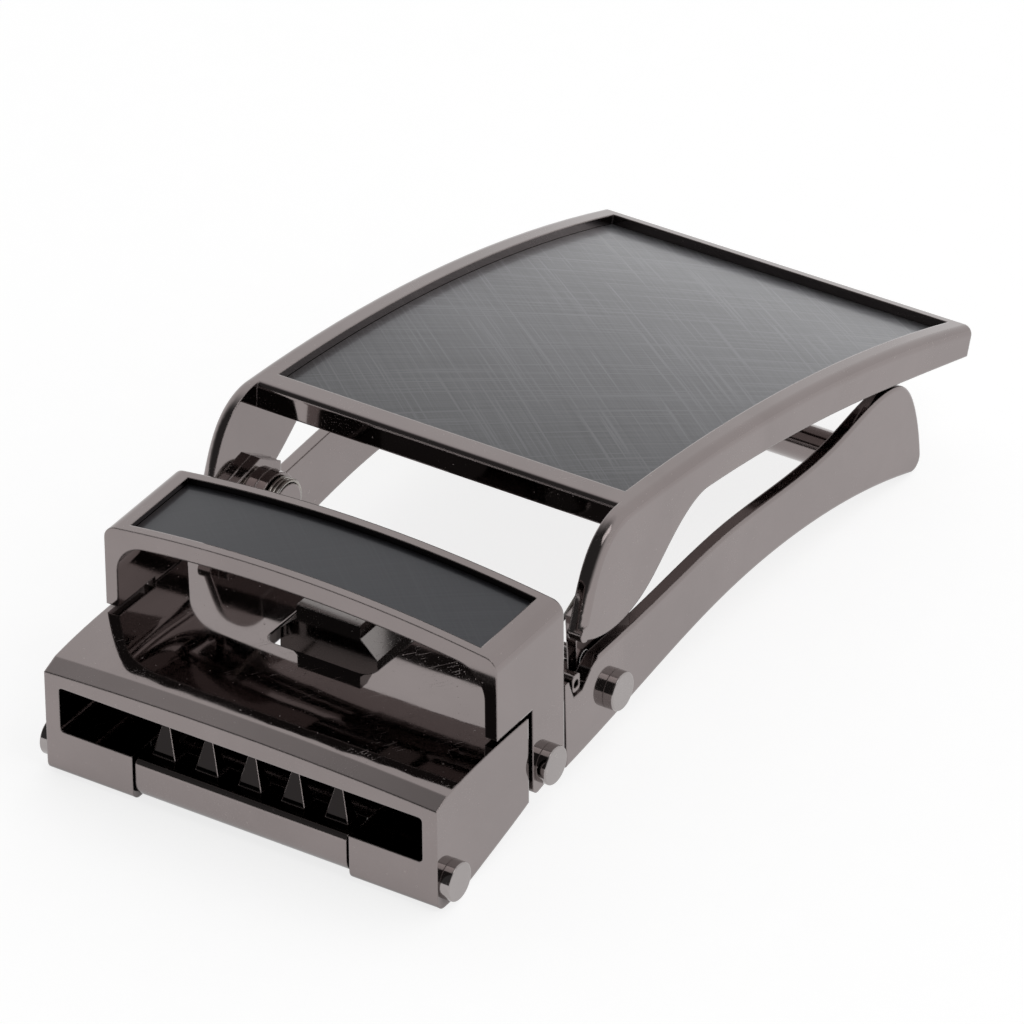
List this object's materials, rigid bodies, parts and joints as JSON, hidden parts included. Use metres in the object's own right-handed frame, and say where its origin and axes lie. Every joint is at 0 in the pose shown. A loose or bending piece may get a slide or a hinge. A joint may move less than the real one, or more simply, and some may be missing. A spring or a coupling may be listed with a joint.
{
  "type": "belt buckle",
  "caption": "Automatic ratchet belt buckle: toothed strap clamp, keeper loop, spring-loaded pawl and a hinged arched face with an inset panel.",
  "frame": {"origin": "centre of the footprint on the plane the buckle rests on", "axes": "+X from the clamp to the far end of the face, +Y across the belt, +Z away from the wearer"},
  "size_m": [0.0904, 0.042, 0.0234],
  "materials": {
    "gunmetal": "polished black-nickel plating over zinc casting",
    "pins": "polished black-nickel plated steel",
    "steel": "black-nickel plated steel",
    "spring_steel": "drawn spring wire",
    "inlay": "dark satin, cross-brushed in two diagonal directions",
    "adhesive": "thin adhesive film"
  },
  "bodies": {
    "chassis": {"clamp_body": "gunmetal", "jaw_pin": "pins", "keeper_loop": "gunmetal", "keeper_inlay": "inlay", "keeper_inlay_adhesive": "adhesive", "keeper_rivets": "pins", "base_frame": "gunmetal", "main_axle": "pins", "axle_spacers": "pins"},
    "face": {"face_frame": "gunmetal", "face_inlay": "inlay", "face_inlay_adhesive": "adhesive", "release_bar": "pins", "closing_springs": "spring_steel"},
    "pawl": {"ratchet_pawl": "steel", "pawl_spring": "spring_steel"},
    "jaw": {"clamp_jaw": "gunmetal"}
  },
  "joints": [
    {"name": "face_lift", "type": "hinge", "parent": "chassis", "child": "face", "pos_m": [-0.017, 0, 0.0066], "axis": [0, -1, 0], "range_deg": [0, 15], "deforming": ["closing_springs"]},
    {"name": "pawl_swing", "type": "hinge", "parent": "chassis", "child": "pawl", "pos_m": [-0.017, 0, 0.0066], "axis": [0, -1, 0], "range_deg": [0, 15], "deforming": ["pawl_spring"]},
    {"name": "jaw_open", "type": "hinge", "parent": "chassis", "child": "jaw", "pos_m": [-0.0432, 0, 0.0024], "axis": [0, 1, 0], "range_deg": [0, 95]}
  ],
  "couplings": [
    {"joint": "pawl_swing", "follows": "face_lift", "ratio": 1}
  ]
}
